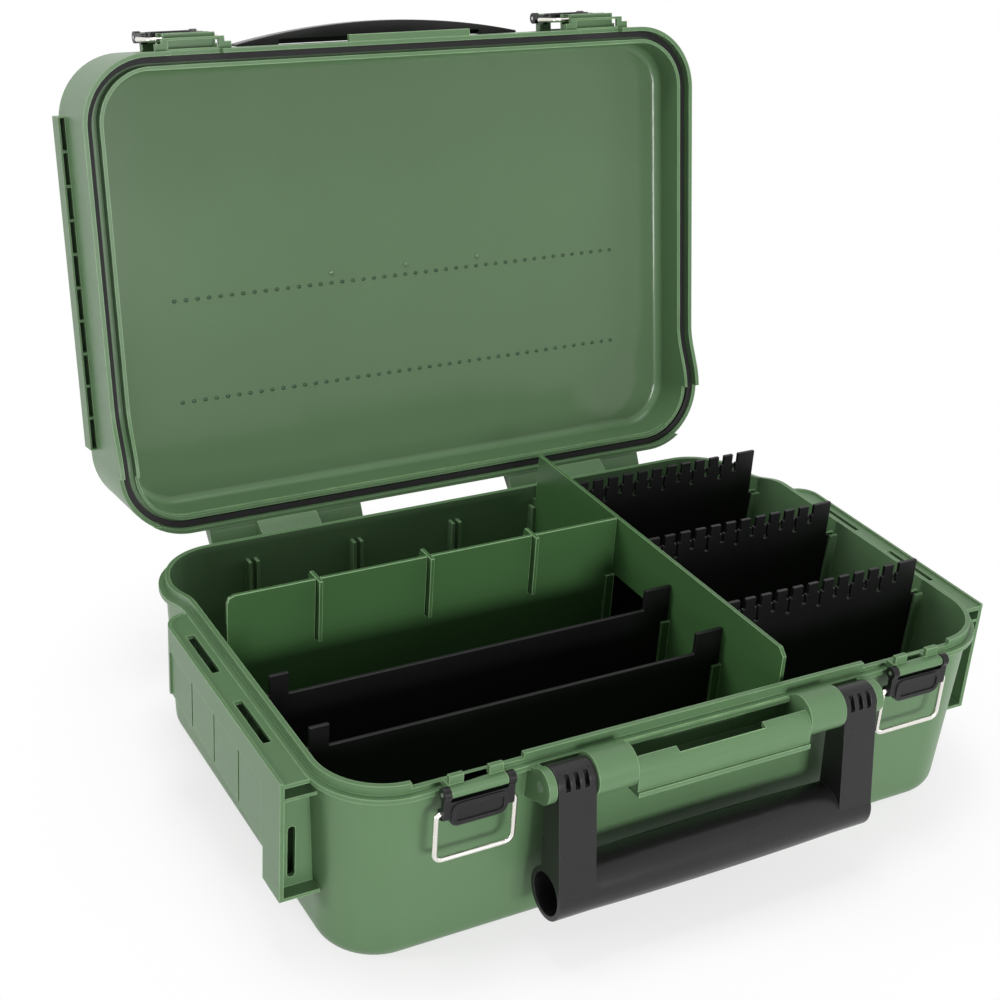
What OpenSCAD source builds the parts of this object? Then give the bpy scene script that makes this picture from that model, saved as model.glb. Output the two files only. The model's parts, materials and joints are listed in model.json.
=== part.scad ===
// Hard fishing tackle case with two storage sides: a deep base and a lid that is a shallow tray
// with its own outer cover. Stored open, as it stands in use. Millimetres; the origin is the
// middle of the flat bottom, +X to the right, +Y towards the hinges, +Z up.

/* [Case] */
// Width inside the base rim
inside_w = 436; // [400:2:480]
// Depth inside the base rim, front to back
inside_d = 294; // [280:2:320]
// Height of the base rim above the floor
rim_h = 121; // [110:1:140]
// Radius of the rim's inner corners
corner_r = 38; // [30:1:44]
// Wall thickness of the base
wall = 3; // [2.5:0.1:3.6]
// Floor thickness of the base
floor_t = 3; // [2:0.1:4]
// How far each wall leans in from rim to floor
draft = 5.5; // [3:0.5:8]
// Radius where wall and floor meet outside
bottom_r = 12; // [8:1:14]

/* [Rim] */
// Height of the sealing tongue above its flange
tongue_h = 6; // [5:0.5:7]
// How far the flange stands out past the wall
flange_w = 3.5; // [2.5:0.5:5]
// Thickness of the flange
flange_t = 3; // [2:0.5:4]
// How much lower the rim runs at the hinges
rear_drop = 10; // [6:1:12]
// Where the rim starts to drop, from the middle
drop_start = 65; // [55:1:90]
// Where the rim has dropped, from the middle
drop_end = 110; // [100:1:112]
// Half length of the raised lip over the handle
lip_half = 115; // [112:1:120]
// How much lower the tongue is beside that lip
lip_step = 3.5; // [2:0.5:4]

/* [Lid] */
// Depth of the lid tray from its rim to its outer edge
tray_h = 58; // [54:1:70]
// Depth from the rim to the inner panel
recess_h = 25; // [22:1:32]
// Thickness of the inner panel
panel_t = 2.5; // [2:0.1:3.5]
// Thickness of the tray's outer wall
tray_wall = 2.8; // [2.4:0.1:3.4]
// How far each tray wall leans in towards the cover
tray_draft = 2; // [1:0.5:3]
// Thickness of the inner rim
inner_rim_t = 2; // [1.5:0.1:2.4]
// Gap between the closed lid and the flange
lid_gap = 0.5; // [0.3:0.1:1]
// Opening angle of the lid at its stop
lid_open = 100.8; // [95:0.2:104]
// Distance between the teeth of the lure rails behind the panel
rail_pitch = 8; // [7:0.5:12]

/* [Cover] */
// Thickness of the outer cover
cover_t = 3; // [2.5:0.1:4]
// Height of the cover's raised middle
cover_rise = 2.5; // [1:0.5:4]
// Height of the lip that seats in the tray
cover_lip_h = 5; // [4:0.5:7]

/* [Hinges] */
// Distance of each hinge's middle from the case's middle
hinge_x = 113.5; // [108:0.5:120]
// Half length of a hinge
hinge_half = 55; // [48:1:58]
// Lid hinge axis behind the inside of the rim
axis_back = 18.5; // [18:0.5:20]
// Lid hinge axis below the rim's top
axis_down = 25; // [24:0.5:26]
// Radius of the lid hinge's knuckles
knuckle_r = 5; // [4.5:0.1:5.5]
// Radius of the lid hinge's pins
hinge_pin_r = 1.6; // [1.2:0.1:2]
// Radius of the cover hinge's knuckles
cover_knuckle_r = 4; // [3.5:0.1:4.5]
// Radius of the cover hinge's pins
cover_pin_r = 1.2; // [1:0.1:1.5]

/* [Latches] */
// Distance of each latch from the middle
latch_x = 148; // [144:1:152]
// Width of a latch lever
lever_w = 42; // [40:1:46]
// Length of a latch lever below its pivot
lever_l = 20; // [19:0.5:22]
// Thickness of a lever's plate and arms
lever_t = 3; // [2.5:0.1:3.2]
// Radius round the lever's pivot
boss_r = 3.8; // [3.5:0.1:4.2]
// Radius of the latch pins
latch_pin_r = 1.2; // [1:0.1:1.4]
// Radius of the bail wire
wire_r = 1.5; // [1.2:0.1:1.6]
// Length of a base bail from its pivot to its bar
base_bail_l = 29.2; // [28.6:0.1:29.6]
// Length of a cover bail from its pivot to its bar
cover_bail_l = 24; // [23:0.1:24.4]

/* [Front handle] */
// Half width between the inner faces of the handle's arms
arm_in = 83.5; // [80:0.5:86]
// Width of each arm
arm_w = 23.5; // [20:0.5:26]
// Length of the handle from pivot to grip
handle_l = 68; // [60:1:72]
// Radius of the grip at its ends
grip_r = 15.5; // [12:0.5:16]
// Extra radius of the grip in the middle
grip_swell = 1; // [0:0.25:1.5]
// Radius of the boss round each handle pivot
handle_boss_r = 10.5; // [9:0.5:11.5]
// Radius of the handle pins
handle_pin_r = 3; // [2.5:0.1:3.5]
// Thickness of the ears outside the arms
ear_t = 5; // [4:0.5:6]

/* [Dividers] */
// Thickness of the divider walls
divider_t = 2.5; // [2:0.1:3]
// Height of the tall dividers above the rim
divider_up = 16.5; // [12:0.5:17.5]
// Place of the main divider across the case
main_x = 61.5; // [50:0.5:70]
// Place of the long divider, front to back
long_y = 39; // [30:1:50]
// Distance between the cross dividers
cross_pitch = 74.5; // [60:0.5:76]
// Place of the first cross divider beside the main divider
cross_first = 64; // [56:0.5:66]
// How deep the cross dividers hook over the long divider
hook_h = 42; // [30:1:50]

/* [Lure racks] */
// Place of the rear lure rack
rack_y = -27; // [-30:1:-20]
// Distance between the lure racks
rack_pitch = 56; // [44:1:58]
// Top edge of the racks below the rim
rack_down = 13.5; // [10:0.5:20]
// Height of the racks' end tabs
rack_tab_h = 14; // [8:0.5:14]
// Width of the racks' end tabs
rack_tab_w = 19; // [14:1:24]

/* [Combs] */
// Distance between the lure combs
comb_pitch = 87.5; // [80:0.5:90]
// Place of the middle comb, front to back
comb_mid = 5; // [0:0.5:8]
// Distance between the slots of a comb
slot_pitch = 12; // [10:0.5:14]
// Width of a comb's slots at the top
slot_w = 4.6; // [3:0.1:6]
// Depth of a comb's shallow slots
slot_h = 12; // [10:0.5:14]
// Extra depth of every second slot
slot_step = 4; // [0:0.5:6]
// Width of the comb's last tooth
tooth_w = 14; // [10:0.5:16]

/* [Side rails] */
// Outer width over both side rails
rails_w = 480; // [476:1:490]
// Front end of the side rails
rail_front = 117; // [110:1:117]
// Rear end of the side rails
rail_rear = 66; // [60:1:72]
// Thickness of the rails' walls
rail_t = 2.5; // [2:0.1:3]
// Height of the deep front end of the rails
rail_fin_h = 75.5; // [70:0.5:78]
// Width of the slots in the rails
rail_slot_w = 5; // [4.6:0.1:6]
// Length of the slots in the rails
rail_slot_l = 43.5; // [36:0.5:46]

/* [Feet and seals] */
// Width of the rear foot on the lid
foot_w = 82; // [60:1:90]
// How far the rear feet stand out
foot_out = 20; // [18.5:0.5:22]
// Thickness of the seals
seal_t = 2; // [1.5:0.1:2.2]

/* [Fits] */
// Gap between pieces that slide or turn past each other
slack = 0.4; // [0.3:0.05:0.6]
// Gap round the pins in their bores
pin_fit = 0.06; // [0.03:0.01:0.1]
// Gap under the pieces that stand on the floor
rest_gap = 0.2; // [0.1:0.05:0.3]

/* [Hidden] */
$fn = 48;
hx = inside_w / 2;
hy = inside_d / 2;
flange_hx = hx + wall + flange_w;
flange_hy = hy + wall + flange_w;
flange_r = corner_r + wall + flange_w;
lid_z = rim_h - tongue_h + lid_gap;
tray_top = lid_z + tray_h;
axis_y = hy + axis_back;
axis_z = rim_h - axis_down;
in_bottom_r = bottom_r - wall;
far = 600;

// A lid part is drawn closed and turned about the hinge axis to the open pose
module opened() {
    translate([0, axis_y, axis_z]) rotate([-lid_open, 0, 0]) translate([0, -axis_y, -axis_z]) children();
}

// Inner half width and half depth of the base at a height
function in_hx(z) = hx - draft * (rim_h - z) / rim_h;
function in_hy(z) = hy - draft * (rim_h - z) / rim_h;
function arc(c, r, a0, a1, n = 8) =
    [for (i = [0 : n]) c + r * [cos(a0 + (a1 - a0) * i / n), sin(a0 + (a1 - a0) * i / n)]];

// How much lower the rim lies at a place along the sides
function drop_share(y) = min(1, max(0, (y - drop_start) / (drop_end - drop_start)));
function rim_drop(y) = rear_drop * (1 - cos(180 * drop_share(y))) / 2;
drop_steps = 12;
drop_ys = concat([-far], [for (i = [0 : drop_steps]) drop_start + (drop_end - drop_start) * i / drop_steps],
    [far]);

// Slab across the whole case between two heights that follow the dropped rim
module rim_slab(low, high) {
    rotate([90, 0, 90]) linear_extrude(2 * far, center = true) polygon(concat(
        [for (y = drop_ys) [y, high - rim_drop(y)]],
        [for (i = [len(drop_ys) - 1 : -1 : 0]) [drop_ys[i], low - rim_drop(drop_ys[i])]]));
}

// Rectangle with round corners
module round_rect(ax, ay, r) {
    square([2 * (ax - r), 2 * ay], center = true);
    square([2 * ax, 2 * (ay - r)], center = true);
    for (sx = [-1, 1], sy = [-1, 1]) translate([sx * (ax - r), sy * (ay - r)]) circle(r);
}

// Flat ring between two rounded rectangles, as deep as wanted
module round_ring(ax, ay, r, t, h) {
    linear_extrude(h) difference() {
        round_rect(ax, ay, r);
        round_rect(ax - t, ay - t, r - t);
    }
}

// Sweeps a section round a rounded rectangle; its x is measured from the corners' centres
module swept(ax, ay, r) {
    for (s = [0, 1]) mirror([s, 0, 0]) translate([ax - r, 0, 0])
        rotate([90, 0, 0]) linear_extrude(2 * (ay - r), center = true) children();
    for (s = [0, 1]) mirror([0, s, 0]) translate([0, ay - r, 0])
        rotate([90, 0, 90]) linear_extrude(2 * (ax - r), center = true) children();
    for (sx = [0, 1], sy = [0, 1]) mirror([sx, 0, 0]) mirror([0, sy, 0]) translate([ax - r, ay - r, 0])
        rotate_extrude(angle = 90) children();
}

// Puts a piece on both sides of the case
module both_sides(x) {
    for (s = [0, 1]) mirror([s, 0, 0]) translate([x, 0, 0]) children();
}

// Rod along X
module rod(x0, x1, r) {
    translate([x0, 0, 0]) rotate([0, 90, 0]) cylinder(h = x1 - x0, r = r);
}

// Plate in the Y-Z plane, from x0 to x1
module plate_x(x0, x1) {
    translate([x0, 0, 0]) rotate([90, 0, 90]) linear_extrude(x1 - x0) children();
}

// Plate in the X-Z plane, centred on y
module plate_y(y, t) {
    translate([0, y + t / 2, 0]) rotate([90, 0, 0]) linear_extrude(t) children();
}

// ---------------------------------------------------------------- base
edge_in = corner_r - draft - bottom_r - 4;
out_slope = draft / rim_h;

module base_wall_section() {
    polygon(concat(
        [[edge_in, 0]],
        arc([corner_r + wall - draft - bottom_r, bottom_r], bottom_r, -90, 0),
        [[corner_r + wall, rim_h], [corner_r, rim_h]],
        arc([corner_r - draft + out_slope * (floor_t + in_bottom_r) - in_bottom_r, floor_t + in_bottom_r],
            in_bottom_r, 0, -90),
        [[edge_in, floor_t]]));
}

// Two upright ribs that hold the end of a wall between them; the wall stands along X
guide_rib = 2;
guide_reach = 6;
module guide_x(t, low, high) {
    for (s = [-1, 1]) translate([0, s * (t / 2 + slack + guide_rib / 2), low])
        translate([-guide_reach / 2, -guide_rib / 2, 0]) cube([guide_reach, guide_rib, high - low]);
}
guide_low = floor_t + in_bottom_r;
side_guide_top = rim_h - 24;
wall_bite = 1;

// Upright rib pair on a side wall that follows its lean; x is measured at the wall
module wall_guide(t, top) {
    for (s = [-1, 1]) plate_y(s * (t / 2 + slack + guide_rib / 2), guide_rib) polygon([
        [in_hx(guide_low) - guide_reach, guide_low], [in_hx(guide_low) + wall_bite, guide_low],
        [in_hx(top) + wall_bite, top], [in_hx(top) - guide_reach, top]]);
}

// The same on the front or back wall, for a wall that stands along Y
module end_guide(t, top) {
    for (s = [-1, 1]) plate_x(s * (t / 2 + slack + guide_rib / 2) - guide_rib / 2,
        s * (t / 2 + slack + guide_rib / 2) + guide_rib / 2) polygon([
        [in_hy(guide_low) - guide_reach, guide_low], [in_hy(guide_low) + wall_bite, guide_low],
        [in_hy(top) + wall_bite, top], [in_hy(top) - guide_reach, top]]);
}

rack_ys = [rack_y, rack_y - rack_pitch];
comb_ys = [comb_mid + comb_pitch, comb_mid, comb_mid - comb_pitch];
cross_xs = [for (i = [2 : -1 : 0]) main_x - cross_first - i * cross_pitch];
rack_t = 2.6;
comb_t = 2.4;
// The combs' shoulders and guides stay clear of the closed lid's inner rim
function comb_shoulder(y) = rim_h - 9 - rim_drop(y + guide_reach);

module base_guides() {
    mirror([1, 0, 0]) for (y = rack_ys) translate([0, y, 0]) wall_guide(rack_t, side_guide_top);
    mirror([1, 0, 0]) translate([0, long_y, 0]) wall_guide(divider_t, side_guide_top);
    for (y = comb_ys) translate([0, y, 0]) wall_guide(comb_t, comb_shoulder(y));
    for (x = concat(cross_xs, [main_x])) translate([x, 0, 0]) end_guide(divider_t, side_guide_top);
    mirror([0, 1, 0]) translate([main_x, 0, 0]) end_guide(divider_t, side_guide_top);
}

rail_hx = rails_w / 2;
rail_z = rim_h - 6.5;
rail_round = 14;
rail_x0 = hx + 0.5;
rail_slot_x = hx + wall + 10;
rail_slots = [-rail_front + 61, -2 + rail_slot_l / 2];

// Inner edge of the rail's ribs, sunk a little in the leaning wall
function rail_in(z) = in_hx(z) + wall - 1;
module rail_rib(y, t, low) {
    plate_y(y, t) polygon([[rail_in(low), low], [rail_in(rail_z), rail_z], [rail_hx - 1, rail_z],
        [rail_hx - 1, low]]);
}
// Shelf inside the deep front end, from a place along the side to the fin's back wall
module rail_shelf(z, from) {
    translate([rail_in(z + shelf_t), from, z])
        cube([rail_hx - 1 - rail_in(z + shelf_t), -fin_back - 0.5 - from, shelf_t]);
}

// Plan of the rail with its rounded rear corner, smaller by t at its outer and rear edges
module rail_plan(t, over = 0) {
    ax = rail_hx - t;
    ay = rail_rear - t;
    r = rail_round - t;
    translate([rail_x0 - over, -rail_front - over]) square([ax - r - rail_x0 + over, rail_front + ay + over]);
    translate([rail_x0 - over, -rail_front - over]) square([ax - rail_x0 + over, rail_front + ay - r + over]);
    intersection() {
        translate([ax - r, ay - r]) circle(r);
        translate([rail_x0, ay - r]) square([r + rail_round, r]);
    }
}

fin_back = 93.5;
rail_band = 14.5;
panel_in = 1;
groove_t = 1.8;
groove_deep = 0.8;
lip_t = 1.8;
lip_h = 1.2;
web_y = -107;
web_slot_w = 4.4;
web_slot_l = 33;
shelf_t = 2;
rib_t = 3;
rail_groove_ys = [17, -18.5, -56];
fin_shelf_z = rail_z - rail_fin_h + 46;
rail_low_rear = rim_h - 50;
rail_low_front = rim_h - 60.5;
rail_fin_low = rail_z - rail_fin_h;

module side_rail() {
    difference() {
        union() {
            translate([0, 0, rail_z - rail_t]) linear_extrude(rail_t) rail_plan(0);
            intersection() {
                translate([0, 0, rail_fin_low]) linear_extrude(rail_fin_h) difference() {
                    rail_plan(0);
                    rail_plan(rail_t, 1);
                }
                plate_x(rail_x0, rail_hx) polygon([[-rail_front, rail_z], [-rail_front, rail_fin_low],
                    [-fin_back, rail_fin_low], [-fin_back, rail_low_front],
                    [rail_rear, rail_low_rear], [rail_rear, rail_z]]);
            }
            rail_rib(-fin_back - rail_t / 2, rail_t, rail_fin_low);
            for (y = rail_groove_ys) rail_rib(y, rib_t, rail_low_rear + 2);
            // front end: top and bottom shelf, upright web and the short shelf behind it
            for (z = [rail_fin_low, rail_z - 11]) rail_shelf(z, -rail_front);
            rail_shelf(fin_shelf_z, web_y);
            rail_rib(web_y, rail_t, rail_fin_low);
            // raised lip along the outer edge
            translate([0, 0, rail_z - 0.5]) linear_extrude(lip_h + 0.5) difference() {
                rail_plan(0);
                rail_plan(lip_t, 1);
                translate([rail_x0 - 2, rail_rear - rail_round - 1])
                    square([rail_hx - rail_round - rail_x0 + 2, rail_round + 2]);
            }
        }
        translate([rail_hx - rail_t - 7.8, web_y, rail_fin_low + web_slot_l / 2 + 8]) rotate([90, 0, 0])
            linear_extrude(3 * rail_t, center = true)
            round_rect(web_slot_w / 2, web_slot_l / 2, web_slot_w / 2 - 0.05);
        for (y = rail_slots) translate([rail_slot_x - rail_slot_w / 2, y - rail_slot_l / 2, rail_z - 12])
            cube([rail_slot_w, rail_slot_l, 14]);
        for (y = rail_groove_ys) translate([rail_hx - panel_in - groove_deep, y - groove_t / 2, 0])
            cube([2 * rail_t, groove_t, rail_z - rail_band]);
        translate([rail_hx - panel_in, -fin_back + 3, 0])
            cube([2, fin_back + rail_rear - rail_round - 3, rail_z - rail_band]);
    }
}

// Lid hinge: the base carries the outer knuckles, the lid the middle one
lid_knuckle_half = 21.5;
base_knuckle_in = lid_knuckle_half + slack;
module base_hinge() {
    for (s = [0, 1]) mirror([s, 0, 0]) {
        translate([0, axis_y, axis_z]) rod(base_knuckle_in, hinge_half, knuckle_r);
        translate([base_knuckle_in, hy + wall / 2, axis_z - knuckle_r])
            cube([hinge_half - base_knuckle_in, axis_back - wall / 2, 4]);
        for (x = [base_knuckle_in, hinge_half - 2.5]) plate_x(x, x + 2.5) polygon([
            [in_hy(axis_z - 24) + wall - 1, axis_z - 24], [axis_y, axis_z - knuckle_r],
            [axis_y, axis_z], [hy + wall / 2, axis_z + 5]]);
    }
}

latch_y = hy + 13.5;
latch_z = rim_h - 4;
bracket_half = 16.6;
bracket_r = 3;
bracket_gap_half = 7.5;
nub_half = 4.2;
nub_mid = bracket_half - 0.65 - nub_half;
nub_h = 5.2;
// Bracket of a latch, drawn on the front wall with its pivot at the origin, pointing to -Y
module latch_bracket(reach) {
    difference() {
        union() {
            rod(-bracket_half, bracket_half, bracket_r);
            translate([-bracket_half, 0, -bracket_r]) cube([2 * bracket_half, reach, 2 * bracket_r]);
        }
        rod(-far, far, latch_pin_r + pin_fit);
        translate([-bracket_gap_half, bracket_r + 0.5, -2 * bracket_r])
            cube([2 * bracket_gap_half, 4.6, 4 * bracket_r]);
    }
}
module base_latch_mounts() {
    for (s = [-1, 1]) translate([s * latch_x, -latch_y, latch_z]) {
        latch_bracket(latch_y - hy - wall / 2);
        for (t = [-1, 1]) translate([t * nub_mid - nub_half, 2.4, 0])
            cube([2 * nub_half, 3, bracket_r + nub_h]);
    }
}

pivot_y = hy + 17;
pivot_z = rim_h - 13;
handle_stud_in = 68;
bar_front = hy + 29.5;
bar_low = rim_h - 27;
bar_top = rim_h - 6.5;
bar_r = 9;
bar_y = bar_front - bar_r;
bar_z = bar_top - bar_r;
bar_skin = 3;
boss_big_r = 12.5;
window_half = 58;
bay_half = 30;
ear_r = 10;
ear_in = arm_in + arm_w + slack;
module handle_mount() {
    back = hy + wall / 2;
    difference() {
        union() {
            for (s = [0, 1]) mirror([s, 0, 0]) {
                translate([0, -pivot_y, pivot_z]) rod(window_half, arm_in - slack, boss_big_r);
                translate([window_half, -pivot_y, bar_low + 1]) cube([arm_in - slack - window_half,
                    pivot_y - back, bar_top - bar_low - 1]);
                plate_x(ear_in, ear_in + ear_t) {
                    translate([-pivot_y, pivot_z]) circle(ear_r);
                    polygon([[-back, bar_top], [-tray_hy - 1, bar_top], [-pivot_y - 2, pivot_z + ear_r - 0.3],
                        [-pivot_y - 1, pivot_z - ear_r + 0.1], [-back, pivot_z - ear_r - 6]]);
                }
            }
            // hollow bar between the bosses: rounded front top, flat back and bottom
            translate([0, -bar_y, bar_z]) rod(-window_half, window_half, bar_r);
            translate([-window_half, -bar_front, bar_low]) cube([2 * window_half, bar_skin, bar_z - bar_low]);
            translate([-window_half, -bar_y, bar_top - bar_skin])
                cube([2 * window_half, bar_y - back, bar_skin]);
            translate([-window_half, -bar_front - 1.5, bar_low])
                cube([2 * window_half, bar_front + 1.5 - back, bar_skin]);
        }
        // inside of the bar, open at the top in two steps
        translate([-window_half, -bar_front + bar_skin, bar_low + bar_skin])
            cube([2 * window_half, bar_front - bar_skin - hy - wall - 3, bar_z - bar_low - bar_skin]);
        translate([0, -bar_y, bar_z]) rod(-window_half, window_half, bar_r - bar_skin);
        translate([-window_half, -bar_front + 8, bar_z]) cube([2 * window_half, 14, bar_r + 1]);
        translate([-bay_half, -bar_front + 4, bar_z]) cube([2 * bay_half - 2, 5, bar_r + 1]);
        for (s = [0, 1]) mirror([s, 0, 0]) translate([0, -pivot_y, pivot_z])
            rod(handle_stud_in + 2, far, handle_pin_r + pin_fit);
    }
}

base_foot_x = 150;
base_foot_z = 26;
module base_tub() {
    color("#6f9467") difference() {
        union() {
            swept(hx, hy, corner_r) base_wall_section();
            linear_extrude(floor_t) round_rect(hx - corner_r + edge_in + 2, hy - corner_r + edge_in + 2,
                edge_in + 2);
            intersection() {
                translate([0, 0, rim_h - 40]) round_ring(flange_hx, flange_hy, flange_r,
                    flange_w + wall / 2, 40);
                rim_slab(rim_h - tongue_h - flange_t, rim_h - tongue_h);
            }
            base_guides();
            for (s = [0, 1]) mirror([s, 0, 0]) side_rail();
            both_sides(hinge_x) base_hinge();
            base_latch_mounts();
            handle_mount();
        }
        // dropped rim, stepped front tongue
        intersection() {
            rim_slab(rim_h, rim_h + 30);
            translate([0, far + drop_start - 1, 0]) cube([2 * far, 2 * far, 2 * far], center = true);
        }
        for (s = [0, 1]) mirror([s, 0, 0]) translate([lip_half, -hy - wall - 1, rim_h - lip_step])
            cube([hx - corner_r - lip_half + 1, wall + 2, 3 * lip_step]);
        // shallow recess along the bottom edge between the corner pads
        for (s = [0, 1]) mirror([0, s, 0]) translate([-hx + 70, hy - draft - 9, -1])
            cube([2 * (hx - 70), 30, 2.2]);
        both_sides(hinge_x) translate([0, axis_y, axis_z]) rod(-far / 8, far / 8, hinge_pin_r + pin_fit);
    }
}

// ---------------------------------------------------------------- lid tray, drawn closed
inner_hx = hx - 4;
inner_hy = hy - 2;
inner_r = corner_r - 3;
tray_hx = flange_hx;
tray_hy = flange_hy;
tray_r = flange_r;
recess_r = 6;
under_lid = lid_z - rear_drop;
skin = 2;

// Section through the tray's outer wall, from the dropped rim to the cover
module tray_wall_section() {
    polygon([[tray_r - tray_wall, under_lid], [tray_r, under_lid], [tray_r, lid_z],
        [tray_r - tray_draft, tray_top], [tray_r - tray_draft - tray_wall, tray_top],
        [tray_r - tray_wall, lid_z]]);
}
// Section through the web that carries the seal, the inner rim and the edge of the panel
module tray_rim_section() {
    x0 = inner_r - inner_rim_t;
    panel_z = lid_z + recess_h;
    polygon(concat(
        [[0, panel_z], [0, panel_z + panel_t], [x0 + inner_rim_t, panel_z + panel_t],
         [x0 + inner_rim_t, under_lid], [x0, under_lid]],
        arc([x0 - 1 - recess_r, panel_z - recess_r], recess_r, 0, 90)));
}

seal_floor = rim_h + lid_gap + seal_t - 0.4;
module tray_web() {
    intersection() {
        translate([0, 0, rim_h - 40]) round_ring(tray_hx - 1, tray_hy - 1, tray_r - 1,
            tray_hx - inner_hx, 2 * tray_h);
        rim_slab(seal_floor, seal_floor + skin);
    }
}

// Keeper block for both bails, on the tray's front wall
keeper_half = 17;
frame_half = 25;
frame_z = rim_h + 0.8;
frame_t = 2.4;
frame_front = 161;
bail_drop = 12.8;
bail_in = 0.8;
bail_pivot_y = latch_y - bail_in;
base_bar_z = latch_z - bail_drop + base_bail_l;
ledge_t = 2.6;
cover_latch_z = tray_top + 2;
cover_bar_z = cover_latch_z - bail_drop - cover_bail_l;
module keeper() {
    front = bail_pivot_y + wire_r + slack;
    back = tray_hy - tray_wall / 2;
    low = base_bar_z - wire_r - slack;
    high = cover_bar_z + wire_r + slack;
    lip = 1.8;
    leg_room = lever_w / 2 - 0.4;
    for (z = [low - ledge_t, high]) translate([-keeper_half, -front - lip, z])
        cube([2 * keeper_half, front + lip - back, ledge_t]);
    translate([-keeper_half, -front - lip, low - ledge_t]) cube([2 * keeper_half, lip, ledge_t + 1.2]);
    translate([-keeper_half, -front - lip, high - 1.2]) cube([2 * keeper_half, lip, ledge_t + 1.2]);
    web_z = latch_z + bracket_r + nub_h + 0.8;
    for (x = [-keeper_half, keeper_half - 2])
        translate([x, -tray_hy - 3, web_z]) cube([2, tray_hy + 3 - back, high - web_z]);
    // frame at the lid's rim, narrower where the bail's legs pass
    difference() {
        union() {
            translate([-frame_half, -bail_pivot_y + wire_r + 0.6, frame_z])
                cube([2 * frame_half, bail_pivot_y - wire_r - 0.6 - back, frame_t]);
            translate([-leg_room, -frame_front, frame_z])
                cube([2 * leg_room, frame_front - back, frame_t]);
        }
        translate([-bracket_half, -frame_front + 1.5, frame_z - 1])
            cube([2 * bracket_half, 5.2, frame_t + 2]);
    }
}

// Ladder of shallow cells along each side of the tray
ladder_cells = 10;
ladder_front = hy - 45;
ladder_back = ladder_front - 217;
ladder_out = 3;
ladder_h = 13;
ladder_skin = 1.2;
module ladder() {
    cell = (ladder_front - ladder_back) / ladder_cells;
    x = tray_hx - tray_draft - 1;
    wide = tray_hx + ladder_out - x;
    translate([x, ladder_back, tray_top - ladder_h - 1]) difference() {
        cube([wide, ladder_front - ladder_back, ladder_h]);
        for (i = [0 : ladder_cells - 1]) translate([tray_draft - 0.2, i * cell + 0.8, -1])
            cube([wide - tray_draft + 0.2 - ladder_skin, cell - 1.6, ladder_h - 0.5]);
    }
}

// Toothed rails on the outer side of the panel, inside the cover
rail_tooth_h = 7;
lure_rail_ys = [4, 73];
module lure_rail(y) {
    half = hx - 30;
    n = floor(2 * half / rail_pitch);
    translate([0, y, lid_z + recess_h + panel_t - 0.5]) difference() {
        translate([-half, -1, 0]) cube([2 * half, 2, rail_tooth_h]);
        for (i = [1 : n - 1]) translate([-half + i * rail_pitch - 1, -2, rail_tooth_h - 3.5])
            cube([2, 4, 4]);
    }
}

// The lid's knuckle with the tail that stops it at the open angle
stop_l = axis_back - wall - 1.2;
module lid_knuckle() {
    half = lid_knuckle_half;
    root = tray_hy - 1 - axis_y;
    difference() {
        union() {
            translate([0, axis_y, axis_z]) {
                rod(-half, half, knuckle_r);
                rotate([lid_open, 0, 0]) plate_x(-half, half) difference() {
                    translate([-stop_l, -knuckle_r + 0.5]) square([stop_l, 3]);
                    circle(hinge_pin_r + 1);
                }
                // leaf that clears the base's knuckles beside the lid's own
                for (s = [0, 1]) mirror([s, 0, 0]) plate_x(half - 0.5, hinge_half) polygon([[root, 10.5],
                    [root, 20], [knuckle_r, 8], [knuckle_r, knuckle_r + 1.2], [0, knuckle_r + 1.2]]);
            }
            plate_x(-half, half) polygon([[axis_y - knuckle_r, axis_z], [axis_y + knuckle_r, axis_z],
                [axis_y + knuckle_r, axis_z + 8], [tray_hy - 1, axis_z + 20], [tray_hy - 1, axis_z + 10.5]]);
        }
        translate([-5.5, axis_y - 1.5, axis_z + knuckle_r]) cube([11, 3, knuckle_r + 6]);
    }
}

// Cover hinge: the tray carries the outer knuckles, the cover the middle ones
cover_axis_y = tray_hy + 4.5;
cover_axis_z = tray_top + 1;
cover_hinge_half = 40;
cover_mid_half = 20;
module tray_cover_knuckles() {
    for (s = [0, 1]) mirror([s, 0, 0]) {
        translate([0, cover_axis_y, cover_axis_z])
            rod(cover_mid_half + slack, cover_hinge_half, cover_knuckle_r);
        plate_x(cover_mid_half + slack, cover_hinge_half) polygon([
            [tray_hy - tray_draft - 1, cover_axis_z - 14], [cover_axis_y + cover_knuckle_r, cover_axis_z],
            [cover_axis_y, cover_axis_z], [tray_hy - tray_draft - 1, cover_axis_z - 3]]);
    }
}

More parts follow.
